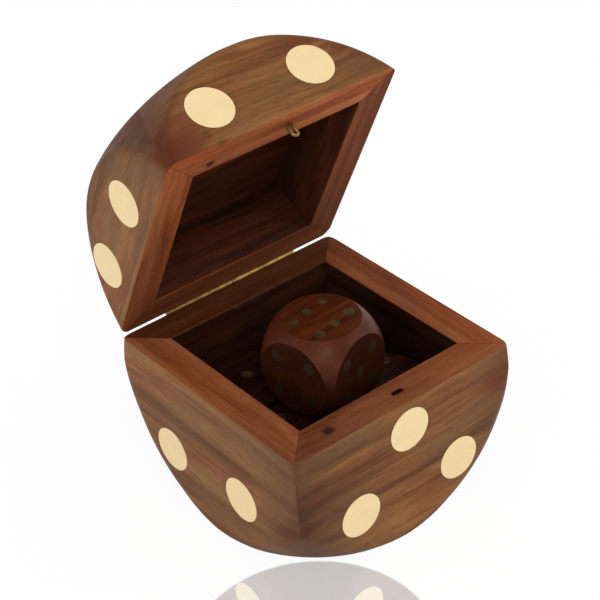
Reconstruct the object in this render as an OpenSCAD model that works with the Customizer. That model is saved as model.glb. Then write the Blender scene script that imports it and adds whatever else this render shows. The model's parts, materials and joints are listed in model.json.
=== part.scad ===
// Wooden dice box in the shape of a die, with a hinged lid and five loose dice.
// Origin: centre of the flat it stands on. +Z up, hinges at +Y, catch at -Y, millimetres.
// The lid is drawn open, at the angle it stands at when at rest.

/* [Loose dice] */
// Side of one loose die, between two flats
die_side = 22; // [16:0.5:28]
// How far the round flat of a loose die stays inside the edge of its face
die_flat_inset = 1.55; // [0.8:0.05:2.5]
// Diameter of a pip on a loose die
die_pip_d = 2.8; // [2:0.1:3.2]
// Depth of a pip on a loose die
die_pip_depth = 1; // [0.5:0.1:2]
// Step between pips on the faces of a loose die that show one to five
die_pip_step = 4.7; // [3.5:0.1:5]
// Step between pips along the two rows of six
die_six_step = 5.4; // [4.5:0.1:5.6]
// Distance of each row of six from the middle of the face
die_six_row = 3.9; // [3:0.1:4.2]
// Gap between neighbouring dice on the floor of the box
dice_gap = 1.2; // [1:0.1:1.8]
// Turn of a lower die about the vertical
lower_die_turn = 2; // [0:0.5:2.5]
// Place of the top die to the side of the middle, towards the left face
top_die_left = 2.8; // [0:0.1:6]
// Place of the top die in front of the middle
top_die_front = 6.9; // [0:0.1:8]
// Turn of the top die about the vertical
top_die_turn = 12; // [-20:1:20]

/* [Box] */
// Play beside two dice across the cavity
play_w = 3.8; // [3:0.1:6]
// Play beside two dice from front to back of the cavity
play_d = 3.8; // [3:0.1:8]
// Headroom over two stacked dice when the lid is shut
headroom = 3.4; // [0.5:0.1:6]
// Thickness of the walls
wall_t = 8.6; // [7:0.1:11]
// Thickness of the bottom panel
floor_t = 7; // [5:0.1:9]
// Thickness of the panel in the lid
top_t = 7; // [5:0.1:9]
// Depth of the cavity in the body, from its rim to its floor
body_depth = 32.3; // [28:0.1:36]
// How far the round flat stays inside the edge of a face
flat_inset = 0.1; // [0.04:0.02:4]
// Width of the softened edges of the rims
arris = 0.4; // [0.2:0.05:0.8]
// Angle that the lid stands open at
lid_angle = 64.3; // [0:0.5:110]

/* [Inlaid pips] */
// Diameter of the discs let into the faces
pip_d = 11.3; // [8:0.1:12]
// Thickness of the discs
pip_depth = 1.6; // [1:0.1:3]
// Clearance round a disc in its pocket
pip_fit = 0.05; // [0.02:0.01:0.2]
// Distance of the outer discs from the middle line of the front, right and back faces
pip_side = 15.2; // [12:0.1:16]
// How far the discs in the front of the body sit to the right of the middle
front_low_right = 0.9; // [-1:0.1:1]
// Distance of the discs in the front of the lid from the middle between them
front_high_side = 14.2; // [12:0.1:16]
// How far the discs in the front of the lid sit to the left of the middle
front_high_left = 0.5; // [-1:0.1:1]
// Gap under the low discs of the front, right and back faces
front_low_gap = 8.7; // [7:0.1:10]
// Gap between the middle disc and the rim of the body
front_mid_gap = 2.5; // [2:0.1:8]
// Gap between the cut and the discs in the front and right of the lid
front_lid_gap = 3.6; // [2:0.1:5]
// Distance of the low rear disc of the left face from its middle line
left_low_rear = 15.3; // [12:0.1:16]
// Distance of the upper rear disc of the left face from its middle line
left_high_rear = 15.9; // [12:0.1:16]
// Distance of the low front disc of the left face from its middle line
left_low_front = 11.4; // [8:0.1:16]
// Distance of the upper front disc of the left face from its middle line
left_high_front = 7.9; // [6:0.1:16]
// Gap under the low rear disc of the left face
left_low_gap = 9.7; // [7:0.1:12]
// How much higher the low front disc of the left face sits than the rear one
left_low_rise = 1; // [-2:0.1:2]
// Gap between the cut and the discs in the left side of the lid
left_lid_gap = 4.2; // [2:0.1:5.2]
// Distance of the outer rows of six on top from the middle row
top_row = 15.6; // [12:0.1:17]
// Gap between the leaf of a hinge and the disc above it
back_lid_gap = 0.9; // [0.5:0.1:1.2]

/* [Hinges] */
// Length of each hinge
hinge_l = 19.5; // [15:0.1:20]
// Gap between the two hinges
hinge_gap = 0.25; // [0.1:0.05:4]
// How far the pair of hinges sits to the right of the middle
hinge_shift = 1; // [0:0.1:2]
// Outside diameter of the knuckles
barrel_d = 1.7; // [1.5:0.05:2.2]
// Diameter of the hinge pins
pin_d = 0.8; // [0.6:0.05:1]
// Radial clearance of the pin in the knuckles
pin_fit = 0.04; // [0.02:0.01:0.08]
// Clearance of the knuckles from the wood behind them
barrel_fit = 0.05; // [0.03:0.01:0.1]
// Length of each outer knuckle
end_knuckle = 5.3; // [3:0.1:7]
// Gap between neighbouring knuckles, and between a knuckle and the other leaf
knuckle_gap = 0.12; // [0.05:0.01:0.3]
// Height of a leaf from the pin to its edge
leaf_h = 4; // [3.6:0.1:4.6]
// Thickness of a leaf
leaf_t = 0.5; // [0.3:0.05:0.6]
// Depth that the leaves are let into the back
leaf_in = 0.45; // [0.1:0.05:0.5]
// Clearance round the leaves in their rebate
leaf_fit = 0.1; // [0.05:0.05:0.3]
// Distance of a nail from the middle of its hinge
nail_x = 6.2; // [4:0.1:7.5]
// Distance of a nail from the free edge of its leaf
nail_in = 1.4; // [1.2:0.1:1.8]
// Diameter of the shank of a nail
nail_d = 0.7; // [0.5:0.05:0.9]
// Length of the shank under the head
nail_l = 4.5; // [3:0.1:6]
// Diameter of the head of a nail
nail_head_d = 1.5; // [1.2:0.1:1.8]
// Height of the head of a nail
nail_head_h = 0.3; // [0.2:0.05:0.35]
// Clearance of a nail in its holes
nail_fit = 0.02; // [0.01:0.01:0.05]

/* [Catch] */
// Thickness of the brass wire
wire_d = 0.85; // [0.6:0.05:1.1]
// Width of the loop over both legs
loop_w = 2.2; // [2:0.1:3]
// How far the loop stands out of the rim of the lid
loop_out = 3.8; // [2.5:0.1:5]
// How deep the legs of the loop go into the lid
loop_in = 5; // [3:0.1:8]
// Place of the catch to the right of the middle
catch_x = 1.2; // [-3:0.1:3]
// Clearance of the loop in the slot that it grips
slot_fit = 0.15; // [0.1:0.01:0.3]
// Spare depth of the slot under the loop
slot_spare = 0.6; // [0.3:0.1:2]

/* [Hidden] */
$fn = 64;
inner_w = 2 * die_side + play_w;
inner_d = 2 * die_side + play_d;
box_w = inner_w + 2 * wall_t;
box_d = inner_d + 2 * wall_t;
body_h = floor_t + body_depth;
total_h = floor_t + 2 * die_side + headroom + top_t;
ball_r = norm([box_w / 2, box_w / 2 - flat_inset]);
body_ball_z = box_w / 2;
lid_ball_z = total_h - box_w / 2;
over = 1;

// heights of the inlaid discs
front_low_z = front_low_gap + pip_d / 2;
front_mid_z = body_h - front_mid_gap - pip_d / 2;
front_lid_z = body_h + front_lid_gap + pip_d / 2;
left_low_z = left_low_gap + pip_d / 2;
left_lid_z = body_h + left_lid_gap + pip_d / 2;
back_lid_z = body_h + leaf_h + leaf_fit + back_lid_gap + pip_d / 2;

// discs of each face: distance along the face, height
front_low = [for (spot = [[-pip_side, front_low_z], [pip_side, front_low_z], [0, front_mid_z]])
  spot + [front_low_right, 0]];
front_high = [for (x = [-front_high_side, front_high_side]) [x - front_high_left, front_lid_z]];
left_low = [[-left_low_rear, left_low_z], [left_low_front, left_low_z + left_low_rise]];
left_high = [[-left_high_rear, left_lid_z], [left_high_front, left_lid_z]];
right_low = [[-pip_side, front_low_z], [0, front_mid_z]];
right_high = [[pip_side, front_lid_z]];
back_low = [[-pip_side, front_low_z]];
back_high = [[pip_side, back_lid_z]];
top_six = [for (x = [-1, 1], y = [-1, 0, 1]) [x * pip_side, y * top_row]];

// turns that carry the front of the box onto its other faces
front_turn = 0;
left_turn = -90;
right_turn = 90;
back_turn = 180;

// hinge axis, on the line of the cut and just behind the back
pin_off = barrel_d / 2 + barrel_fit - leaf_in;
pin_y = box_d / 2 + pin_off;
pin_z = body_h;
leaf_y = -(pin_off + leaf_in);
hinge_a_x = hinge_shift - hinge_gap / 2 - hinge_l;
hinge_b_x = hinge_shift + hinge_gap / 2;
nail_z = leaf_h - nail_in;

catch_y = -box_d / 2 + wall_t / 2;
leg_x = (loop_w - wire_d) / 2;

die_ball_r = norm([die_side / 2, die_side / 2 - die_flat_inset]);
lower_step = (die_side + dice_gap) / 2;

wood = [0.45, 0.27, 0.15];
rim_wood = [0.5, 0.24, 0.12];
dark_wood = [0.33, 0.15, 0.09];
inlay = [0.93, 0.84, 0.62];
brass = [0.72, 0.56, 0.27];

// Swings what is drawn shut to where the open lid stands
module opened() {
  translate([0, pin_y, pin_z])
    rotate([-lid_angle, 0, 0])
      translate([0, -pin_y, -pin_z])
        children();
}

module ball(z) {
  translate([0, 0, z]) sphere(r = ball_r);
}

// A board along X on the front side, mitred at both ends, its rim edges softened
module board(half_l, half_dist, z_low, z_high, rim_z) {
  inner = half_dist - wall_t;
  edge = rim_z == z_high ? -arris : arris;
  far_z = rim_z == z_high ? z_low : z_high;
  intersection() {
    translate([0, 0, z_low])
      linear_extrude(z_high - z_low)
        polygon([
          [-half_l, -half_dist], [half_l, -half_dist],
          [half_l - wall_t, -inner], [-half_l + wall_t, -inner]
        ]);
    rotate([90, 0, 90])
      translate([0, 0, -half_l])
        linear_extrude(2 * half_l)
          polygon([
            [-half_dist, far_z], [-half_dist, rim_z + edge], [-half_dist + arris, rim_z],
            [-inner - arris, rim_z], [-inner, rim_z + edge], [-inner, far_z]
          ]);
  }
}

// One of the four walls of the body or of the lid, turned onto its side of the box
module wall(turn, in_lid) {
  along_x = turn == front_turn || turn == back_turn;
  half_l = (along_x ? box_w : box_d) / 2;
  half_dist = (along_x ? box_d : box_w) / 2;
  intersection() {
    rotate([0, 0, turn])
      board(half_l, half_dist, in_lid ? body_h : 0, in_lid ? total_h : body_h, body_h);
    ball(in_lid ? lid_ball_z : body_ball_z);
  }
}

// Discs let into an upright face, or with a fit the pockets for them
module face_discs(turn, half_dist, spots, fit = 0) {
  rotate([0, 0, turn])
    for (spot = spots)
      translate([spot[0], -half_dist - (fit > 0 ? over : 0), spot[1]])
        rotate([-90, 0, 0])
          cylinder(d = pip_d + 2 * fit, h = pip_depth + (fit > 0 ? over : 0));
}

// The same for the bottom and the top, measured up from face_z
module flat_discs(face_z, up, spots, fit = 0) {
  for (spot = spots)
    translate([spot[0], spot[1], face_z])
      mirror([0, 0, up ? 1 : 0])
        translate([0, 0, fit > 0 ? -over : 0])
          cylinder(d = pip_d + 2 * fit, h = pip_depth + (fit > 0 ? over : 0));
}

// Discs follow the ball where they reach past the round flat
module sanded_discs(turn, half_dist, spots, in_lid) {
  color(inlay)
    intersection() {
      face_discs(turn, half_dist, spots);
      ball(in_lid ? lid_ball_z : body_ball_z);
    }
}

// Panel that fills the opening between the four walls
module panel(z_low, t, in_lid) {
  intersection() {
    translate([-inner_w / 2, -inner_d / 2, z_low]) cube([inner_w, inner_d, t]);
    ball(in_lid ? lid_ball_z : body_ball_z);
  }
}

// Shallow rebate in the back for the leaves and knuckles of both hinges
module hinge_rebate() {
  translate([hinge_a_x - leaf_fit, pin_y + leaf_y, pin_z - leaf_h - leaf_fit])
    cube([2 * hinge_l + hinge_gap + 2 * leaf_fit, over - leaf_y, 2 * (leaf_h + leaf_fit)]);
}

// Nails of both hinges, on the body side (down) or the lid side (up); with a fit, their holes
module hinge_nails(side, fit = 0) {
  for (x0 = [hinge_a_x, hinge_b_x], dx = [-nail_x, nail_x])
    translate([x0 + hinge_l / 2 + dx, pin_y + leaf_y + leaf_t, pin_z + side * nail_z])
      rotate([90, 0, 0]) {
        cylinder(d = nail_d + 2 * fit, h = nail_l);
        if (fit == 0)
          translate([0, 0, -nail_head_h]) cylinder(d = nail_head_d, h = nail_head_h);
      }
}

module knuckle_tube(x0, l, d, extra = 0) {
  translate([x0 - extra, pin_y, pin_z])
    rotate([0, 90, 0])
      cylinder(d = d, h = l + 2 * extra);
}

// One leaf: its plate, the strips that reach its own knuckles, and those knuckles.
// stretches lists the start and length of each knuckle, measured from the end of the hinge.
module leaf(x0, side, stretches) {
  near_z = barrel_d / 2 + knuckle_gap;
  difference() {
    union() {
      translate([x0, pin_y + leaf_y, pin_z + (side > 0 ? near_z : -leaf_h)])
        cube([hinge_l, leaf_t, leaf_h - near_z]);
      for (s = stretches) {
        translate([x0 + s[0], pin_y + leaf_y, pin_z + (side > 0 ? 0 : -near_z - leaf_t)])
          cube([s[1], leaf_t, near_z + leaf_t]);
        knuckle_tube(x0 + s[0], s[1], barrel_d);
      }
    }
    knuckle_tube(x0, hinge_l, pin_d + 2 * pin_fit, over);
    for (dx = [-nail_x, nail_x])
      translate([x0 + hinge_l / 2 + dx, pin_y + leaf_y - over, pin_z + side * nail_z])
        rotate([-90, 0, 0])
          cylinder(d = nail_d + 2 * nail_fit, h = leaf_t + 2 * over);
  }
}

module body_leaf(x0) {
  color(brass) leaf(x0, -1, [[0, end_knuckle], [hinge_l - end_knuckle, end_knuckle]]);
}

module lid_leaf(x0) {
  middle = hinge_l - 2 * (end_knuckle + knuckle_gap);
  color(brass) opened() leaf(x0, 1, [[end_knuckle + knuckle_gap, middle]]);
}

module hinge_pin(x0) {
  color(brass) knuckle_tube(x0, hinge_l, pin_d);
}

// Wire loop drawn shut: legs up into the lid, bend down into the body; with a fit, the leg holes
module wire_legs(fit = 0) {
  for (s = [-1, 1])
    translate([catch_x + s * leg_x, catch_y, body_h - (loop_out - loop_w / 2)])
      cylinder(d = wire_d + 2 * fit, h = loop_out - loop_w / 2 + loop_in);
}

module wire_bend() {
  translate([catch_x, catch_y, body_h - (loop_out - loop_w / 2)])
    rotate([-90, 0, 0])
      rotate_extrude(angle = 180)
        translate([leg_x, 0])
          circle(d = wire_d);
}

// Slot with round ends in the rim of the body, which grips the loop when the lid is shut
module catch_slot() {
  slot_t = wire_d + 2 * slot_fit;
  slot_h = loop_out + slot_spare;
  translate([catch_x, catch_y, body_h - slot_h]) {
    for (s = [-1, 1])
      translate([s * leg_x, 0, 0]) cylinder(d = slot_t, h = slot_h + over);
    translate([-leg_x, -slot_t / 2, 0]) cube([2 * leg_x, slot_t, slot_h + over]);
  }
}

module body_front_wall() {
  color(wood)
    difference() {
      wall(front_turn, false);
      face_discs(front_turn, box_d / 2, front_low, pip_fit);
      catch_slot();
    }
}

module body_left_wall() {
  color(wood)
    difference() {
      wall(left_turn, false);
      face_discs(left_turn, box_w / 2, left_low, pip_fit);
    }
}

module body_right_wall() {
  color(wood)
    difference() {
      wall(right_turn, false);
      face_discs(right_turn, box_w / 2, right_low, pip_fit);
    }
}

module body_back_wall() {
  color(wood)
    difference() {
      wall(back_turn, false);
      face_discs(back_turn, box_d / 2, back_low, pip_fit);
      hinge_rebate();
      hinge_nails(-1, nail_fit);
    }
}

module bottom_panel() {
  color(dark_wood)
    difference() {
      panel(0, floor_t, false);
      flat_discs(0, false, [[0, 0]], pip_fit);
    }
}

module lid_front_wall() {
  color(rim_wood)
    opened()
      difference() {
        wall(front_turn, true);
        face_discs(front_turn, box_d / 2, front_high, pip_fit);
        wire_legs(nail_fit);
      }
}

module lid_left_wall() {
  color(rim_wood)
    opened()
      difference() {
        wall(left_turn, true);
        face_discs(left_turn, box_w / 2, left_high, pip_fit);
      }
}

module lid_right_wall() {
  color(rim_wood)
    opened()
      difference() {
        wall(right_turn, true);
        face_discs(right_turn, box_w / 2, right_high, pip_fit);
      }
}

module lid_back_wall() {
  color(rim_wood)
    opened()
      difference() {
        wall(back_turn, true);
        face_discs(back_turn, box_d / 2, back_high, pip_fit);
        hinge_rebate();
        hinge_nails(1, nail_fit);
      }
}

module top_panel() {
  color(dark_wood)
    opened()
      difference() {
        panel(total_h - top_t, top_t, true);
        flat_discs(total_h, true, top_six, pip_fit);
      }
}

module body_front_pips() sanded_discs(front_turn, box_d / 2, front_low, false);
module body_left_pips() sanded_discs(left_turn, box_w / 2, left_low, false);
module body_right_pips() sanded_discs(right_turn, box_w / 2, right_low, false);
module body_back_pip() sanded_discs(back_turn, box_d / 2, back_low, false);
module bottom_pip() color(inlay) flat_discs(0, false, [[0, 0]]);
module lid_front_pips() opened() sanded_discs(front_turn, box_d / 2, front_high, true);
module lid_left_pips() opened() sanded_discs(left_turn, box_w / 2, left_high, true);
module lid_right_pip() opened() sanded_discs(right_turn, box_w / 2, right_high, true);
module lid_back_pip() opened() sanded_discs(back_turn, box_d / 2, back_high, true);
module top_pips() color(inlay) opened() flat_discs(total_h, true, top_six);

module body_hinge_nails() color(brass) hinge_nails(-1);
module lid_hinge_nails() color(brass) opened() hinge_nails(1);

module catch_loop() {
  color(brass)
    opened()
      union() {
        wire_legs();
        wire_bend();
      }
}

// Spots of one to six on a face of a loose die
function die_spots(n) =
  n == 6 ? [for (x = [-1, 0, 1], y = [-1, 1]) [x * die_six_step, y * die_six_row]]
  : concat(
      n % 2 == 1 ? [[0, 0]] : [],
      n > 1 ? [[-die_pip_step, die_pip_step], [die_pip_step, -die_pip_step]] : [],
      n > 3 ? [[die_pip_step, die_pip_step], [-die_pip_step, -die_pip_step]] : []
    );

// Turn that brings the top of a die onto each face, for faces 1 to 6
die_turns = [[180, 0, 0], [-90, 0, 0], [0, 90, 0], [0, -90, 0], [90, 0, 0], [0, 0, 0]];

// All 21 pips of a die centred on the origin; with extra, the pockets for them
module die_pips_shape(extra = 0) {
  for (n = [1 : 6])
    rotate(die_turns[n - 1])
      for (spot = die_spots(n))
        translate([spot[0], spot[1], die_side / 2 - die_pip_depth])
          cylinder(d = die_pip_d + 2 * extra, h = die_pip_depth + (extra > 0 ? over : 0));
}

module die_blank() {
  intersection() {
    cube(die_side, center = true);
    sphere(r = die_ball_r);
  }
}

// Each lower die: side along X and Y of its quarter of the floor, and how it has rolled
lower_dice = [
  [-1, -1, [90, 0, 0]],
  [1, -1, [0, 90, 0]],
  [-1, 1, [180, 0, 0]],
  [1, 1, [0, 0, 90]]
];

module at_lower_die(i) {
  spec = lower_dice[i];
  translate([spec[0] * lower_step, spec[1] * lower_step, floor_t + die_side / 2])
    rotate([0, 0, spec[0] * lower_die_turn])
      rotate(spec[2])
        children();
}

module at_top_die() {
  translate([-top_die_left, -top_die_front, floor_t + 3 * die_side / 2])
    rotate([0, 0, top_die_turn])
      children();
}

module die_wood() {
  color(dark_wood)
    difference() {
      die_blank();
      die_pips_shape(pip_fit);
    }
}

module die_pips() color(brass) die_pips_shape();

body_front_wall();
body_left_wall();
body_right_wall();
body_back_wall();
bottom_panel();
lid_front_wall();
lid_left_wall();
lid_right_wall();
lid_back_wall();
top_panel();
body_front_pips();
body_left_pips();
body_right_pips();
body_back_pip();
bottom_pip();
lid_front_pips();
lid_left_pips();
lid_right_pip();
lid_back_pip();
top_pips();
body_leaf(hinge_a_x);  // hinge_a_body_leaf
lid_leaf(hinge_a_x);  // hinge_a_lid_leaf
hinge_pin(hinge_a_x);  // hinge_a_pin
body_leaf(hinge_b_x);  // hinge_b_body_leaf
lid_leaf(hinge_b_x);  // hinge_b_lid_leaf
hinge_pin(hinge_b_x);  // hinge_b_pin
body_hinge_nails();
lid_hinge_nails();
catch_loop();
at_lower_die(0) die_wood();  // lower_die_1
at_lower_die(0) die_pips();  // lower_die_1_pips
at_lower_die(1) die_wood();  // lower_die_2
at_lower_die(1) die_pips();  // lower_die_2_pips
at_lower_die(2) die_wood();  // lower_die_3
at_lower_die(2) die_pips();  // lower_die_3_pips
at_lower_die(3) die_wood();  // lower_die_4
at_lower_die(3) die_pips();  // lower_die_4_pips
at_top_die() die_wood();  // top_die
at_top_die() die_pips();  // top_die_pips
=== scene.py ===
import bpy
import bmesh
import json
import math
import numpy as np
from mathutils import Matrix, Vector, noise


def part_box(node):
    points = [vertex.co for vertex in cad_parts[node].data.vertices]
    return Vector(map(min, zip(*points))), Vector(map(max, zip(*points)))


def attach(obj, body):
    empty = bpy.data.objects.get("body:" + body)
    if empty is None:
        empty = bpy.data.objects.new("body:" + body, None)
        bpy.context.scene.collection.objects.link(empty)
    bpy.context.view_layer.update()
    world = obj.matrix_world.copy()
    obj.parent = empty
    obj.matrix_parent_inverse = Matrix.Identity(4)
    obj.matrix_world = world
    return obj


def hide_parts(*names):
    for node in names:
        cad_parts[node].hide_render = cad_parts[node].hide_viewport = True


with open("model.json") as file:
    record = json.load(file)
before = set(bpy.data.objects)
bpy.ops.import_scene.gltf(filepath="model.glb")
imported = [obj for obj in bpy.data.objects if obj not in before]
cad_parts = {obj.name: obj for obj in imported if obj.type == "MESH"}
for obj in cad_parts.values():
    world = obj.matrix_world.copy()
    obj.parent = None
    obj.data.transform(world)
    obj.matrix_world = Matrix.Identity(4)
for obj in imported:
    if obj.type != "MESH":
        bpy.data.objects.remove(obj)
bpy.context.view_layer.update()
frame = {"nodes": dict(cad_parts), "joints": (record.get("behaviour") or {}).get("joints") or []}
mm = 0.001
nodes = frame["nodes"]
print("frame loaded:", len(nodes), "pieces")


# colours and shader helpers

def tone(red, green, blue):
    # 0-255 as seen on a screen, to the linear colour that a shader takes
    def lin(c):
        c /= 255
        return c / 12.92 if c <= 0.04045 else ((c + 0.055) / 1.055) ** 2.4
    return (lin(red), lin(green), lin(blue), 1)


def addNode(tree, kind, sockets=None, **settings):
    made = tree.nodes.new("ShaderNode" + kind)
    for key, value in settings.items():
        setattr(made, key, value)
    for key, value in (sockets or {}).items():
        if isinstance(value, bpy.types.NodeSocket):
            tree.links.new(value, made.inputs[key])
        else:
            made.inputs[key].default_value = value
    return made


def newFinish(name):
    finish = bpy.data.materials.new(name)
    finish.use_nodes = True
    tree = finish.node_tree
    tree.nodes.clear()
    shader = addNode(tree, "BsdfPrincipled")
    out = addNode(tree, "OutputMaterial")
    tree.links.new(shader.outputs[0], out.inputs["Surface"])
    return finish, tree, shader


def blendColour(tree, share, first, second, kind="MIX"):
    mix = addNode(tree, "Mix", {0: share, 6: first, 7: second}, data_type="RGBA", blend_type=kind)
    return mix.outputs[2]


def between(tree, value, low, high, toLow=0.0, toHigh=1.0):
    ranged = addNode(tree, "MapRange", {"Value": value, "From Min": low, "From Max": high,
                                        "To Min": toLow, "To Max": toHigh})
    return ranged.outputs[0]


def sumOf(tree, kind, first, second, third=0.0):
    return addNode(tree, "Math", {0: first, 1: second, 2: third}, operation=kind).outputs[0]


def vectorOf(tree, kind, first, second):
    return addNode(tree, "VectorMath", {0: first, 1: second}, operation=kind)


def stretched(tree, place, along, across):
    # finer across the grain than along it; sizes in mm
    return vectorOf(tree, "MULTIPLY", place, (1 / along, 1 / across, 1 / across)).outputs[0]


def grainField(tree, place, along, across, detail, rough, warp=0.0):
    return addNode(tree, "TexNoise", {"Vector": stretched(tree, place, along, across), "Scale": 1.0,
                                      "Detail": detail, "Roughness": rough,
                                      "Distortion": warp}).outputs[0]


def spotInMm(tree):
    spot = addNode(tree, "TexCoord").outputs["Object"]
    return spot, vectorOf(tree, "MULTIPLY", spot, (1 / mm, 1 / mm, 1 / mm)).outputs[0]


def threeTones(tree, value, places, look):
    ramp = addNode(tree, "ValToRGB", {0: value})
    stops = ramp.color_ramp.elements
    stops[0].position, stops[0].color = places[0], look["dark"]
    stops[1].position, stops[1].color = places[2], look["light"]
    stops.new(places[1]).color = look["middle"]
    return ramp.outputs[0]


def upwards(tree, low, high, most):
    # 0 where a face looks up, most where it looks sideways or down; sets how much painted shade the dice
    # get
    normal = addNode(tree, "NewGeometry").outputs["Normal"]
    facing = addNode(tree, "SeparateXYZ", {0: normal}).outputs["Z"]
    return between(tree, facing, high, low, 0, most)


glossSpan = (0.3, 0.7)   # the part of a noise that the roughness follows
ownSockets = {"Specular IOR Level": "specular", "Specular Tint": "shine", "Coat Weight": "coat",
              "Coat Roughness": "coatRoughness", "Coat Tint": "shine", "Metallic": "metallic"}


def dressShader(tree, shader, look, colour, gloss, height):
    # gloss and height are noises; bump in a look is its strength and its depth in mm
    tree.links.new(colour, shader.inputs["Base Color"])
    tree.links.new(between(tree, gloss, *glossSpan, *look["roughness"]), shader.inputs["Roughness"])
    for socket, key in ownSockets.items():
        if key in look:
            shader.inputs[socket].default_value = look[key]
    strength, depth = look["bump"]
    bump = addNode(tree, "Bump", {"Strength": strength, "Distance": depth * mm, "Height": height})
    tree.links.new(bump.outputs[0], shader.inputs["Normal"])


# woods of the box: joint, handled, board and streaks are how much of each effect shows; the board tone of
# the rims also holds painted shade

woodLooks = {
    "outerWood": {
        "dark": tone(101, 61, 34), "middle": tone(126, 80, 43), "light": tone(148, 103, 59),
        "warm": tone(110, 56, 31), "smudge": tone(98, 68, 48), "grey": tone(112, 82, 51),
        "streak": tone(66, 37, 20), "roughness": (0.36, 0.5), "specular": 0.07, "coat": 0.055,
        "coatRoughness": 0.14, "bump": (0.35, 0.05), "joint": 0.04, "handled": 0.95, "streaks": 0.5},
    "rimWood": {
        "dark": tone(103, 52, 28), "middle": tone(123, 66, 37), "light": tone(142, 84, 53),
        "warm": tone(128, 63, 32), "grey": tone(112, 65, 41), "streak": tone(70, 33, 17),
        "roughness": (0.55, 0.7), "specular": 0.04, "coat": 0.0, "coatRoughness": 0.3,
        "bump": (0.35, 0.06), "joint": 0.5, "board": 1.0, "streaks": 0.3},
    "insideWood": {
        "dark": tone(36, 14, 7), "middle": tone(58, 24, 12), "light": tone(86, 41, 23),
        "warm": tone(72, 26, 11), "grey": tone(56, 31, 20), "streak": tone(22, 9, 5),
        "roughness": (0.5, 0.65), "specular": 0.1, "coat": 0.0, "coatRoughness": 0.4,
        "bump": (0.35, 0.06), "joint": 0.6, "streaks": 0.5},
    # painted shade: the body's inside takes this darker copy of the inside wood, for the shade in the box
    "cavityShadedWood": {
        "dark": tone(26, 10, 5), "middle": tone(43, 18, 9), "light": tone(66, 32, 18),
        "warm": tone(52, 19, 9), "grey": tone(42, 23, 15), "streak": tone(16, 7, 4),
        "roughness": (0.5, 0.65), "specular": 0.08, "coat": 0.0, "coatRoughness": 0.4,
        "bump": (0.35, 0.06), "joint": 0.6, "streaks": 0.5},
}
grainLook = {
    # noises: size in mm along and across the grain, detail, roughness
    "fields": {"bands": (80, 3.6, 4.0, 0.6), "lines": (30, 0.55, 3.0, 0.65),
               "clouds": (24, 11, 2.0, 0.5), "fibres": (9, 0.24, 2.0, 0.6),
               "pores": (2.6, 0.24, 1.0, 0.5)},
    "swirl": (38, 14), "swirlDetail": 2.0, "push": (4.0, 5.0, 5.0),   # mm; what bends the grain
    "lineWeight": 0.5,             # of the lines beside the bands
    "stops": (0.34, 0.48, 0.66),   # where dark, middle and light lie
    # what a noise, or a distance in mm, does: from, to, then the share at each
    "shares": {
        "grey": (0.5, 0.7, 0, 0.6), "warm": (0.48, 0.32, 0, 0.6), "darkBands": (0.44, 0.3, 0, 1),
        "fibres": (0.36, 0.62, 0.26, 0), "pores": (0.33, 0.27, 0, 0.7),
        "sanded": (0.36, 0.62, 0.95, 0.55), "frontEdge": (10, 1, 0, 1),
        "frontClouds": (0.36, 0.6, 1.0, 0.4), "smudges": (0.42, 0.56, 0, 1),
        "knots": (0.0, 0.5, 0, 0.85), "discEdge": (0.24, 0.06, 0, 0.8),
        "poreDepth": (0.34, 0.26, 0, -1)},
    "streakLines": (0.35, 0.6), "jointLine": (0.16, 0.03),
    "smudgeShare": 0.8, "fibreHeight": 0.5,
    "knotTone": tone(30, 17, 16), "discTone": tone(52, 32, 20), "jointTone": tone(40, 20, 12),
    "rubbed": (0.6, 0.44, 0.4, 1),   # the wood times this where hands and sanding have darkened it
}
skinFields = ("ballShare", "discEdge", "jointEdge", "frontEdge", "knot")   # on the points of a wall


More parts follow.
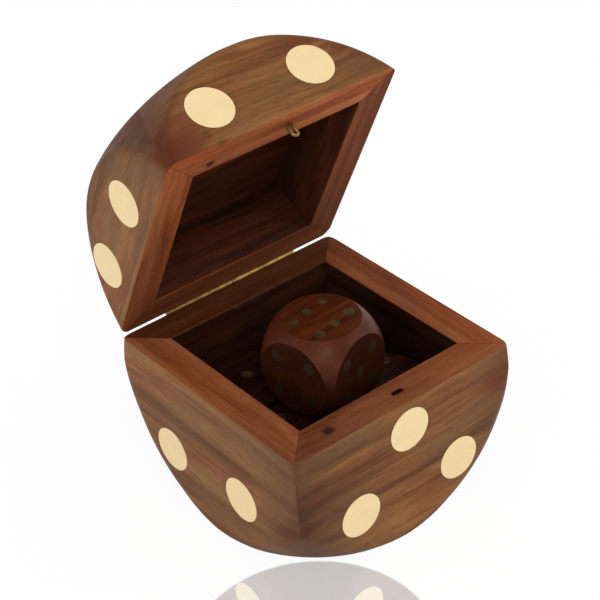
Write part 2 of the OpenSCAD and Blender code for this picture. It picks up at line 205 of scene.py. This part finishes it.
def woodFinish(name, look):
    finish, tree, shader = newFinish(name)

    def shareOf(value, key):
        return between(tree, value, *grainLook["shares"][key])

    place = addNode(tree, "Attribute", attribute_name="woodPlace").outputs["Vector"]
    ballShare, discEdge, jointEdge, frontEdge, knot = (
        addNode(tree, "Attribute", attribute_name=field).outputs["Fac"] for field in skinFields)

    bend = addNode(tree, "TexNoise", {"Vector": stretched(tree, place, *grainLook["swirl"]),
                                      "Scale": 1.0, "Detail": grainLook["swirlDetail"]})
    push = vectorOf(tree, "SUBTRACT", bend.outputs[1], (0.5, 0.5, 0.5))
    push = vectorOf(tree, "MULTIPLY", push.outputs[0], grainLook["push"])
    bent = vectorOf(tree, "ADD", place, push.outputs[0]).outputs[0]
    bands, lines, clouds, fibres, pores = (
        grainField(tree, bent, *field) for field in grainLook["fields"].values())

    weight = grainLook["lineWeight"]
    figure = sumOf(tree, "ADD", sumOf(tree, "MULTIPLY_ADD", lines, weight, -weight / 2), bands)
    colour = threeTones(tree, figure, grainLook["stops"], look)
    colour = blendColour(tree, shareOf(clouds, "grey"), colour, look["grey"])
    colour = blendColour(tree, shareOf(clouds, "warm"), colour, look["warm"])
    streaks = sumOf(tree, "MULTIPLY", shareOf(bands, "darkBands"),
                    between(tree, lines, *grainLook["streakLines"], 0, look["streaks"]))
    for share in (streaks, shareOf(fibres, "fibres"), shareOf(pores, "pores")):
        colour = blendColour(tree, share, colour, look["streak"])

    sanded = sumOf(tree, "MULTIPLY", ballShare, shareOf(clouds, "sanded"))
    colour = blendColour(tree, sanded, colour, grainLook["rubbed"], "MULTIPLY")
    if "handled" in look:
        handled = sumOf(tree, "MULTIPLY", shareOf(frontEdge, "frontEdge"), shareOf(clouds, "frontClouds"))
        handled = sumOf(tree, "MULTIPLY", handled, look["handled"])
        smudges = blendColour(tree, shareOf(clouds, "smudges"), look["warm"], look["smudge"])
        smudged = sumOf(tree, "MULTIPLY", handled, grainLook["smudgeShare"])
        colour = blendColour(tree, smudged, colour, smudges)
        colour = blendColour(tree, handled, colour, grainLook["rubbed"], "MULTIPLY")
    # board tone of the rims, with painted shade on the back rims by the hinge
    if "board" in look:
        board = addNode(tree, "Attribute", attribute_name="boardTone").outputs["Color"]
        colour = blendColour(tree, look["board"], colour, board, "MULTIPLY")
    colour = blendColour(tree, shareOf(knot, "knots"), colour, grainLook["knotTone"])
    colour = blendColour(tree, shareOf(discEdge, "discEdge"), colour, grainLook["discTone"])
    joint = between(tree, jointEdge, *grainLook["jointLine"], 0, look["joint"])
    colour = blendColour(tree, joint, colour, grainLook["jointTone"])

    height = sumOf(tree, "ADD", shareOf(pores, "poreDepth"),
                   sumOf(tree, "MULTIPLY", fibres, grainLook["fibreHeight"]))
    dressShader(tree, shader, look, colour, lines, height)
    return finish


woods = {name: woodFinish(name, look) for name, look in woodLooks.items()}
outerFace, rimFace, innerFace = 0, 1, 2    # places in these lists
# the body's inside is painted shade: cavity wood, a darker copy of the inside wood
wallFinishes = {True: [woods["outerWood"], woods["rimWood"], woods["insideWood"]],     # lid
                False: [woods["outerWood"], woods["rimWood"], woods["cavityShadedWood"]]}    # body


# wood of the loose dice; side and shade paint shade on the faces that look sideways or down

dieLooks = {
    "topDieWood": {
        "dark": tone(46, 17, 6), "middle": tone(74, 31, 10), "light": tone(98, 45, 15),
        "side": 0.8, "shade": tone(34, 14, 8), "polished": tone(72, 31, 21), "roughness": (0.3, 0.42),
        "specular": 0.12, "coat": 0.05, "coatRoughness": 0.2, "shine": tone(255, 205, 190),
        "bump": (0.2, 0.04)},
    # painted shade: the lower dice take this darker copy of the die wood, for the shade in the box
    "lowerDiceShadedWood": {
        "dark": tone(22, 8, 4), "middle": tone(38, 15, 7), "light": tone(58, 27, 13),
        "side": 0.4, "shade": tone(14, 6, 4), "roughness": (0.4, 0.52),
        "specular": 0.05, "coat": 0.01, "coatRoughness": 0.25, "shine": tone(255, 205, 190),
        "bump": (0.2, 0.04)},
}
dieGrain = {
    # as the fields of the grain above, with a warp
    "bands": (24, 2.2, 4.0, 0.6, 0.4), "lines": (16, 0.5, 3.0, 0.6), "stops": (0.3, 0.5, 0.7),
    "darkLines": (0.5, 0.3, 0, 0.45),
    "ballFrom": 0.25, "ballFull": 0.1, "ballShare": 0.65,   # mm within the ball, then the share there
    # the span over which the painted shade on the side faces fades out
    "upright": (0, 0.45),                                   # from a side face to one that looks up
}
dieLow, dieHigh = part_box("top_die")
dieMiddle = (dieLow + dieHigh) / 2
dieBall = max((v.co - dieMiddle).length for v in nodes["top_die"].data.vertices) / mm


def dieFinish(name, look):
    finish, tree, shader = newFinish(name)
    spot, place = spotInMm(tree)
    bands = grainField(tree, place, *dieGrain["bands"])
    lines = grainField(tree, place, *dieGrain["lines"])
    colour = threeTones(tree, bands, dieGrain["stops"], look)
    colour = blendColour(tree, between(tree, lines, *dieGrain["darkLines"]), colour, look["dark"])
    if "polished" in look:   # the ball of the top die, between its flats
        off = vectorOf(tree, "DISTANCE", spot, dieMiddle).outputs["Value"]
        onBall = between(tree, off, (dieBall - dieGrain["ballFrom"]) * mm,
                         (dieBall - dieGrain["ballFull"]) * mm, 0, dieGrain["ballShare"])
        colour = blendColour(tree, onBall, colour, look["polished"])
    # painted shade: faces that look sideways or down blend towards the shade tone
    colour = blendColour(tree, upwards(tree, *dieGrain["upright"], look["side"]), colour, look["shade"])
    dressShader(tree, shader, look, colour, lines, lines)
    return finish


# brass and the cream inlay

metalLooks = {
    "discBrass": {"clean": tone(236, 209, 157), "worn": tone(230, 201, 148), "metallic": 0.1,
                  "roughness": (0.36, 0.46), "bump": (0.15, 0.02), "wornShare": 0.5},
    "hingeBrass": {"clean": tone(158, 124, 68), "worn": tone(86, 64, 34), "metallic": 0.85,
                   "roughness": (0.3, 0.5), "bump": (0.3, 0.02), "wornShare": 0.8},
    "wireBrass": {"clean": tone(146, 112, 54), "worn": tone(92, 68, 30), "metallic": 0.85,
                  "roughness": (0.25, 0.42), "bump": (0.2, 0.02), "wornShare": 0.7},
    "dicePipBrass": {"clean": tone(84, 64, 28), "worn": tone(36, 26, 12), "metallic": 0.5,
                     "roughness": (0.4, 0.6), "bump": (0.3, 0.02), "wornShare": 0.9, "side": 0.85},
}
metalWear = {
    "scale": 0.35, "detail": 4.0, "worn": (0.42, 0.66),
    "brushed": (3.0, 0.12, 2.0, 0.5),   # as the fields of the grain above
    "upright": (0.1, 0.8),
}


def metalFinish(name, look):
    finish, tree, shader = newFinish(name)
    place = spotInMm(tree)[1]
    wear = addNode(tree, "TexNoise", {"Vector": place, "Scale": metalWear["scale"],
                                      "Detail": metalWear["detail"]}).outputs[0]
    brushed = grainField(tree, place, *metalWear["brushed"])
    worn = between(tree, wear, *metalWear["worn"], 0, look["wornShare"])
    colour = blendColour(tree, worn, look["clean"], look["worn"])
    if "side" in look:   # painted shade: the pips of the dice blend to their worn tone on the side faces
        colour = blendColour(tree, upwards(tree, *metalWear["upright"], look["side"]), colour, look["worn"])
    dressShader(tree, shader, look, colour, brushed, brushed)
    return finish


metals = {name: metalFinish(name, look) for name, look in metalLooks.items()}
diceWoods = {name: dieFinish(name, look) for name, look in dieLooks.items()}
print("finishes made:", len(bpy.data.materials))


# the box: sizes in mm, shut, as the part has them

hinge = next(j for j in frame["joints"] if j["name"] == "lid_hinge")
boxShape = {
    "half": -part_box("body_front_wall")[0].y / mm,      # middle to a flat face
    "inner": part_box("bottom_panel")[1].x / mm,         # middle to the inside of a wall
    "rim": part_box("body_front_wall")[1].z / mm,        # height of the cut between body and lid
    "height": 61.4,
    "ball": 45.89,         # radius of the ball that rounds the corners
    "floor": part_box("bottom_panel")[1].z / mm,
    "lidOpen": 64.3,       # degrees that the lid stands open at rest
    "bodySoft": 2.4,       # how softly flat and ball meet at a corner of the body
    "lidSoft": 0.7,
    "edgeSoft": 0.06,      # the share of that which is left at the middle of an edge
    "softReach": 14,       # how far from there it is full
    "sink": 0.05,          # the wood lies this much lower than the discs
    "outerArris": 0.2,
    "backArris": 0.06,
    "innerArris": 0.18,
    "wave": 0.05,          # unevenness left by the sanding
    "waveSize": 9.0,
    "waveMiddle": 0.6,     # keeps it below the discs
}
pinY, pinZ = hinge["pos_m"][1] / mm, hinge["pos_m"][2] / mm
wallTurns = {"front": 0, "left": -90, "right": 90, "back": 180}
swingOpen = (Matrix.Translation((0, pinY, pinZ))
             @ Matrix.Rotation(math.radians(-boxShape["lidOpen"]), 4, "X")
             @ Matrix.Translation((0, -pinY, -pinZ)))


def ballMiddle(inLid):
    return boxShape["height"] - boxShape["half"] if inLid else boxShape["half"]


def outside(x, y, z, inLid):
    # below 0 in the wood, above 0 outside it; the second value is 1 on the ball and 0 on the flats
    middle = ballMiddle(inLid)
    flats = np.maximum(np.maximum(abs(x), abs(y)), abs(z - middle)) - boxShape["half"]
    ball = np.sqrt(x * x + y * y + (z - middle) ** 2) - boxShape["ball"]
    nearest = np.minimum(np.minimum(abs(x), abs(y)), abs(z - middle))   # small at the middle of an edge
    least = boxShape["edgeSoft"]
    soft = boxShape["lidSoft" if inLid else "bodySoft"] * (
        least + (1 - least) * np.clip(nearest / boxShape["softReach"], 0, 1))
    near = np.clip(1 - abs(flats - ball) / soft, 0, 1)
    share = np.clip(0.5 + (ball - flats) / (2 * soft), 0, 1)
    return np.maximum(flats, ball) + near * near * soft / 4 + boxShape["sink"], share


def reach(place, inLid, far=70.0, halvings=38):
    # how far in mm a ray goes from the inside to the skin
    low = np.zeros(np.shape(place(0.0)[0]))
    high = low + far
    for _ in range(halvings):
        half = (low + high) / 2
        inWood = outside(*place(half), inLid)[0] < 0
        low, high = np.where(inWood, half, low), np.where(inWood, high, half)
    return low


def sandedWave(point, inLid):
    start = Vector((3.1, 7.7, 1.3 + 9 * inLid))   # any place will do, another one for the lid
    height = noise.noise(Vector(point) / boxShape["waveSize"] + start)
    return boxShape["wave"] * (height - boxShape["waveMiddle"])


discNodes = {
    "front": ("body_front_pips", "lid_front_pips"), "left": ("body_left_pips", "lid_left_pips"),
    "right": ("body_right_pips", "lid_right_pip"), "back": ("body_back_pip", "lid_back_pip"),
    "flat": ("bottom_pip", "top_pips"),
}


def discSpots(nodeName, inLid):
    # middle and radius of each disc, shut, in mm
    back = swingOpen.inverted() if inLid else Matrix.Identity(4)
    shape = bmesh.new()
    shape.from_mesh(nodes[nodeName].data)
    bmesh.ops.remove_doubles(shape, verts=shape.verts, dist=1e-6)
    left, spots = set(shape.verts), []
    while left:
        island, queue = [], [left.pop()]
        while queue:
            vert = queue.pop()
            island.append(back @ (vert.co / mm))
            for edge in vert.link_edges:
                other = edge.other_vert(vert)
                if other in left:
                    left.remove(other)
                    queue.append(other)
        lowest = Vector([min(co[i] for co in island) for i in range(3)])
        highest = Vector([max(co[i] for co in island) for i in range(3)])
        spots.append(((lowest + highest) / 2, max(highest - lowest) / 2))
    shape.free()
    return spots


# dark knots and stains: wall, in the lid or not, then along the wall, out from the middle, height,
# size, strength
knots = [("front", False, -19.3, 28.3, 39.3, 1.5, 1.0), ("front", True, -19.8, 26.2, 39.3, 1.2, 0.9),
         ("front", True, -18.0, 32.2, 39.6, 1.4, 0.35), ("front", True, -19.5, 32.4, 43.0, 1.3, 0.2),
         ("front", False, -30, 32, 22, 24, 0.24), ("left", False, 33, 30, 18, 11, 0.16),
         ("front", False, -20, 27, 7, 16, 0.14), ("left", True, 16, 27, 54, 15, 0.2)]
knotStretch = 1.4    # a knot is this much longer along the wall


def knotShare(point, wallKnots):
    shares = [0.0]
    for x, out, high, size, strength in wallKnots:
        off = math.hypot((point.x - x) / knotStretch, -point.y - out, point.z - high)
        shares.append(strength * (1 - off / size))
    return max(shares)


# how light the sawn edge of each board is, from its left end to its right end, seen from outside; the back
# rims of body and lid, by the hinge, are darkened here as painted shade from the open lid
boardTones = {("front", False): (0.72, 1.2), ("left", False): (1.35, 1.0), ("right", False): (1.4, 1.05),
              ("back", False): (0.45, 0.4), ("front", True): (1.3, 1.8), ("left", True): (0.7, 1.45),
              ("right", True): (0.95, 0.62), ("back", True): (0.75, 0.75)}

noDisc, noFrontEdge = 9.0, 20.0           # mm, where none is near
boardStep = Vector((37.0, 13.0, 71.0))    # mm; each board has its own place in the grain
sharpAngle = math.radians(38)


def buildSolid(name, grid, isWall, turn, inLid, kinds, discs=(), wallKnots=(), seed=0, tones=(1, 1)):
    # grid: columns x loop of points; kinds: finish of each row of faces
    columns, rows = grid.shape[:2]
    turned = Matrix.Rotation(math.radians(turn), 4, "Z")
    move = (swingOpen if inLid else Matrix.Identity(4)) @ turned
    outward = Vector((0, -1, 0)) if isWall else Vector((0, 0, 1 if inLid else -1))
    mesh = bmesh.new()
    woodPlace = mesh.verts.layers.float_vector.new("woodPlace")
    layers = {key: mesh.verts.layers.float.new(key) for key in skinFields + ("boardTone",)}
    share = outside(grid[..., 0], grid[..., 1], grid[..., 2], inLid)[1]
    made = []
    for i in range(columns):
        made.append([])
        for j in range(rows):
            point = Vector(grid[i, j])
            whole = turned @ point
            skin = outerFace in (kinds[j], kinds[j - 1])
            if skin:
                point = point + outward * sandedWave(whole, inLid)
            if isWall:
                joint = (-point.y - abs(point.x)) / math.sqrt(2)
            else:
                joint = boxShape["inner"] - max(abs(point.x), abs(point.y))
            discGaps = [(whole - spot).length - radius for spot, radius in discs] if skin else []
            along = 0.5 + point.x / (2 * boxShape["half"])
            vert = mesh.verts.new((move @ point) * mm)
            vert[woodPlace] = Vector(grid[i, j]) + boardStep * seed
            vert[layers["ballShare"]] = float(share[i, j]) if skin else 0.0
            vert[layers["discEdge"]] = min([noDisc] + discGaps)
            vert[layers["jointEdge"]] = joint
            vert[layers["frontEdge"]] = joint if whole.y < 0 else noFrontEdge
            vert[layers["knot"]] = knotShare(point, wallKnots)
            # board tone along the rim, painted shade on the back rims included
            vert[layers["boardTone"]] = tones[0] + (tones[1] - tones[0]) * along
            made[-1].append(vert)
    for i in range(columns - 1):
        for j in range(rows):
            k = (j + 1) % rows
            face = mesh.faces.new((made[i][j], made[i][k], made[i + 1][k], made[i + 1][j]))
            face.material_index = kinds[j]
    for end in (made[0], made[-1]):
        mesh.faces.new(end)
    bmesh.ops.recalc_face_normals(mesh, faces=mesh.faces)
    for face in mesh.faces:
        face.smooth = len(face.verts) == 4
    for edge in mesh.edges:
        edge.smooth = edge.calc_face_angle(0) < sharpAngle
    data = bpy.data.meshes.new(name)
    mesh.to_mesh(data)
    mesh.free()
    piece = bpy.data.objects.new(name, data)
    bpy.context.scene.collection.objects.link(piece)
    for finish in wallFinishes[inLid]:
        data.materials.append(finish)
    return piece


wallMesh = {"columns": 104, "skinRows": 92, "insideRows": 14, "rimRows": 10, "arrisRows": 3,
            "rays": 500, "mitreGap": 0.004}


def rounded(start, corner, end, steps):
    # a short curve from start to end, pulled to corner; all are arrays of points
    parts = [(k + 1) / (steps + 1) for k in range(steps)]
    return [(1 - p) ** 2 * start + 2 * p * (1 - p) * corner + p * p * end for p in parts]


def wallPiece(side, inLid):
    inner, rim = boxShape["inner"], boxShape["rim"]
    soft, bevel = boxShape["innerArris"], boxShape["backArris" if side == "back" else "outerArris"]
    insideRows, rimRows, arrisRows = (wallMesh[key] for key in ("insideRows", "rimRows", "arrisRows"))
    up = 1 if inLid else -1                      # from the rim into the wood
    edge = 1 - wallMesh["mitreGap"] / boxShape["half"]
    share = np.linspace(-edge, edge, wallMesh["columns"])
    angles = np.linspace(0, math.pi / 2, wallMesh["rays"])
    u, a = np.meshgrid(share, angles, indexing="ij")

    def along(r):
        out = inner + r * np.cos(a)
        return u * out, -out, rim + up * r * np.sin(a)

    x, y, z = along(reach(along, inLid))
    out = -y
    step = np.hypot(np.diff(out, axis=1), np.diff(z, axis=1))
    run = np.concatenate([np.zeros((len(share), 1)), np.cumsum(step, axis=1)], axis=1)
    profiles = []
    for i in range(len(share)):
        targets = np.linspace(bevel, run[i, -1], wallMesh["skinRows"])
        skin = np.stack([np.interp(targets, run[i], out[i]), np.interp(targets, run[i], z[i])], axis=1)
        first = np.array([out[i, 0], rim])
        insideZ = np.linspace(skin[-1, 1], rim + up * soft, insideRows)
        inside = [np.array([inner, v]) for v in insideZ[1:]]
        rimStart, rimEnd = np.array([inner + soft, rim]), first - np.array([bevel, 0])
        lip = rounded(inside[-1], np.array([inner, rim]), rimStart, arrisRows)
        flat = [rimStart + (rimEnd - rimStart) * k / rimRows for k in range(rimRows + 1)]
        arris = rounded(rimEnd, first, skin[0], arrisRows)
        profile = np.array(inside + lip + flat + arris + list(skin))
        profiles.append(np.stack([share[i] * profile[:, 0], -profile[:, 0], profile[:, 1]], axis=1))
    grid = np.array(profiles)
    insideEnd = insideRows - 2
    rimEnds = insideEnd + arrisRows + rimRows + 4    # after the lip, the flat and most of the arris
    kinds = [innerFace if j < insideEnd else rimFace if j < rimEnds else outerFace
             for j in range(grid.shape[1])]
    kinds[-1] = innerFace
    name = ("lid" if inLid else "body") + side.capitalize() + "Wall"
    discs = discSpots(discNodes[side][inLid], inLid)
    wallKnots = [knot[2:] for knot in knots if knot[:2] == (side, inLid)]
    seed = 1 + list(wallTurns).index(side) + 4 * inLid
    piece = buildSolid(name, grid, True, wallTurns[side], inLid, kinds, discs, wallKnots, seed,
                       boardTones[side, inLid])
    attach(piece, "lid" if inLid else "box")
    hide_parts(("lid_" if inLid else "body_") + side + "_wall")
    return piece


panelMesh = {"cells": 78, "gap": 0.03, "far": 20.0, "bottomSeed": 11, "topSeed": 14}   # gap, far: mm


def panelPiece(inLid):
    size, cells = boxShape["inner"] - panelMesh["gap"], panelMesh["cells"]
    inside = boxShape["height"] - boxShape["floor"] if inLid else boxShape["floor"]
    up = 1 if inLid else -1
    places = np.linspace(-size, size, cells)
    x, y = np.meshgrid(places, places, indexing="ij")

    def along(r):
        return x, y, inside + up * r

    skin = inside + up * reach(along, inLid, panelMesh["far"])
    outer = np.stack([x, y, skin], axis=2)
    inner = np.stack([x, y, x * 0 + inside], axis=2)[:, ::-1]
    grid = np.concatenate([outer, inner], axis=1)
    kinds = [outerFace] * (cells - 1) + [rimFace] + [innerFace] * (cells - 1) + [rimFace]
    piece = buildSolid("topPanel" if inLid else "bottomPanel", grid, False, 0, inLid, kinds,
                       discSpots(discNodes["flat"][inLid], inLid),
                       seed=panelMesh["topSeed" if inLid else "bottomSeed"])
    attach(piece, "lid" if inLid else "box")
    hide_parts("top_panel" if inLid else "bottom_panel")


walls = {}
for inLid in (False, True):
    for side in wallTurns:
        walls[side, inLid] = wallPiece(side, inLid)
    panelPiece(inLid)
print("walls and panels built")


# the slot in the front rim that takes the loop of the catch when the lid is shut, mm

catchSlot = {"width": 3.0, "depth": 5.0, "across": 1.15, "above": 1, "roundSteps": 8}


def cutCatchSlot(piece):
    low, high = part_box("catch_loop")
    middleX = (low.x + high.x) / 2
    middleY = -(boxShape["half"] + boxShape["inner"]) / 2 * mm
    radius = catchSlot["across"] / 2 * mm
    offset = catchSlot["width"] / 2 * mm - radius
    top = (boxShape["rim"] + catchSlot["above"]) * mm
    bottom = (boxShape["rim"] - catchSlot["depth"]) * mm
    steps = catchSlot["roundSteps"]
    loop = []
    for sign in (1, -1):
        for k in range(steps + 1):
            angle = math.radians(-90 + 180 * k / steps) + (0 if sign > 0 else math.pi)
            loop.append((middleX + sign * offset + math.cos(angle) * radius,
                         middleY + math.sin(angle) * radius))
    cutter = bmesh.new()
    lower = [cutter.verts.new((x, y, bottom)) for x, y in loop]
    upper = [cutter.verts.new((x, y, top)) for x, y in loop]
    cutter.faces.new(lower)
    cutter.faces.new(upper)
    for k in range(len(loop)):
        m = (k + 1) % len(loop)
        cutter.faces.new((lower[k], lower[m], upper[m], upper[k]))
    bmesh.ops.recalc_face_normals(cutter, faces=cutter.faces)
    data = bpy.data.meshes.new("slotCutter")
    cutter.to_mesh(data)
    cutter.free()
    for finish in wallFinishes[False]:
        data.materials.append(finish)
    for face in data.polygons:
        face.material_index = innerFace
    tool = bpy.data.objects.new("slotCutter", data)
    bpy.context.scene.collection.objects.link(tool)
    cut = piece.modifiers.new("catchSlot", "BOOLEAN")
    cut.operation, cut.object, cut.solver = "DIFFERENCE", tool, "EXACT"
    depsgraph = bpy.context.evaluated_depsgraph_get()
    done = bpy.data.meshes.new_from_object(piece.evaluated_get(depsgraph))
    piece.modifiers.clear()
    piece.data = done
    bpy.data.objects.remove(tool)


cutCatchSlot(walls["front", False])
print("catch slot cut")


# finishes of the pieces kept as they are

keptFinishes = {"pip": metals["discBrass"], "hinge": metals["hingeBrass"], "catch": metals["wireBrass"],
                "top_die": diceWoods["topDieWood"], "lower_die": diceWoods["lowerDiceShadedWood"]}


def keptFinish(name):
    if "die" in name and name.endswith("pips"):
        return metals["dicePipBrass"]
    for word, finish in keptFinishes.items():
        if word in name:
            return finish
    return woods["insideWood"]


for name, piece in nodes.items():
    piece.data.materials.clear()
    piece.data.materials.append(keptFinish(name))
print("finishes given")


# floor, light and camera

stageLook = {
    "floorSize": 8.0, "matte": (0.95, 0.95, 0.95, 1), "white": (1, 1, 1, 1), "glow": 1.0,
    "shadowShare": 0.07, "worldLight": 0.62,
    # a polished spot on the floor, metres
    "mirror": 0.45, "mirrorRoughness": 0.04, "mirrorMiddle": (-0.0401, -0.0456, 0),
    "mirrorRadius": 0.0275, "mirrorSoft": 0.0003,
}


def buildFloor():
    finish, tree, shader = newFinish("paleFloor")
    tree.nodes.remove(shader)
    out = next(n for n in tree.nodes if n.type == "OUTPUT_MATERIAL")
    white = stageLook["white"]
    matte = addNode(tree, "BsdfDiffuse", {"Color": stageLook["matte"]})
    glow = addNode(tree, "Emission", {"Color": white, "Strength": stageLook["glow"]})
    camera = addNode(tree, "LightPath").outputs["Is Camera Ray"]
    share = sumOf(tree, "MULTIPLY", camera, 1 - stageLook["shadowShare"])
    body = addNode(tree, "MixShader", {0: share, 1: matte.outputs[0], 2: glow.outputs[0]})
    shine = addNode(tree, "BsdfGlossy", {"Color": white, "Roughness": stageLook["mirrorRoughness"]})
    spot = addNode(tree, "TexCoord").outputs["Object"]
    off = vectorOf(tree, "DISTANCE", spot, stageLook["mirrorMiddle"]).outputs["Value"]
    radius, soft = stageLook["mirrorRadius"], stageLook["mirrorSoft"]
    polish = between(tree, off, radius + soft, radius - soft, 0, stageLook["mirror"])
    mirror = sumOf(tree, "MULTIPLY", camera, polish)
    both = addNode(tree, "MixShader", {0: mirror, 1: body.outputs[0], 2: shine.outputs[0]})
    tree.links.new(both.outputs[0], out.inputs["Surface"])
    bpy.ops.mesh.primitive_grid_add(x_subdivisions=4, y_subdivisions=4, size=stageLook["floorSize"])
    floor = bpy.context.object
    floor.name = "floor"
    floor.data.materials.append(finish)


def buildWorld():
    world = bpy.data.worlds.new("studio")
    bpy.context.scene.world = world
    world.use_nodes = True
    tree = world.node_tree
    tree.nodes.clear()
    path = addNode(tree, "LightPath")
    seen = path.outputs["Is Camera Ray"]
    for ray in ("Is Transmission Ray", "Is Glossy Ray"):
        seen = sumOf(tree, "MAXIMUM", seen, path.outputs[ray])
    strength = between(tree, seen, 0, 1, stageLook["worldLight"], 1.0)
    sky = addNode(tree, "Background", {"Color": stageLook["white"], "Strength": strength})
    out = addNode(tree, "OutputWorld")
    tree.links.new(sky.outputs[0], out.inputs[0])


lamps = {
    "keyLamp": {"place": (-0.7, -1.2, 1.1), "size": 0.9, "power": 8.0},
    "fillLamp": {"place": (1.3, -1.1, 0.7), "size": 1.2, "power": 6.5},
    "leftLamp": {"place": (-1.4, -0.3, 0.4), "size": 0.9, "power": 4.4},
    "topLamp": {"place": (-0.2, -0.3, 1.7), "size": 1.0, "power": 3.0},
}
lampAim = Vector((0, 0, 0.03))


def buildLamps():
    for name, look in lamps.items():
        data = bpy.data.lights.new(name, "AREA")
        data.shape, data.size, data.energy = "SQUARE", look["size"], look["power"]
        lamp = bpy.data.objects.new(name, data)
        bpy.context.scene.collection.objects.link(lamp)
        lamp.location = look["place"]
        lamp.rotation_euler = (lampAim - lamp.location).to_track_quat("-Z", "Y").to_euler()


cameraView = {
    "azimuth": -37.62, "elevation": 34.66, "roll": -3.43,   # degrees
    "distance": 0.4214, "target": (-0.00558, -0.00308, 0.05514),
    "lens": 110.98, "sensor": 36.0, "nearest": 0.01,
}


def buildCamera():
    turn, tilt, roll = (math.radians(cameraView[k]) for k in ("azimuth", "elevation", "roll"))
    back = Vector((math.sin(turn) * math.cos(tilt), -math.cos(turn) * math.cos(tilt), math.sin(tilt)))
    right = Vector((math.cos(turn), math.sin(turn), 0))
    up = back.cross(right)
    sideways = math.cos(roll) * right + math.sin(roll) * up
    upright = -math.sin(roll) * right + math.cos(roll) * up
    data = bpy.data.cameras.new("photoCamera")
    data.sensor_width, data.lens = cameraView["sensor"], cameraView["lens"]
    data.clip_start = cameraView["nearest"]
    camera = bpy.data.objects.new("photoCamera", data)
    bpy.context.scene.collection.objects.link(camera)
    place = Vector(cameraView["target"]) + back * cameraView["distance"]
    turned = Matrix((sideways, upright, back)).transposed().to_4x4()
    camera.matrix_world = Matrix.Translation(place) @ turned
    bpy.context.scene.camera = camera


buildFloor()
buildWorld()
buildLamps()
buildCamera()
bpy.context.scene.view_settings.view_transform = "Standard"
print("floor, light and camera placed")

bpy.context.view_layer.update()
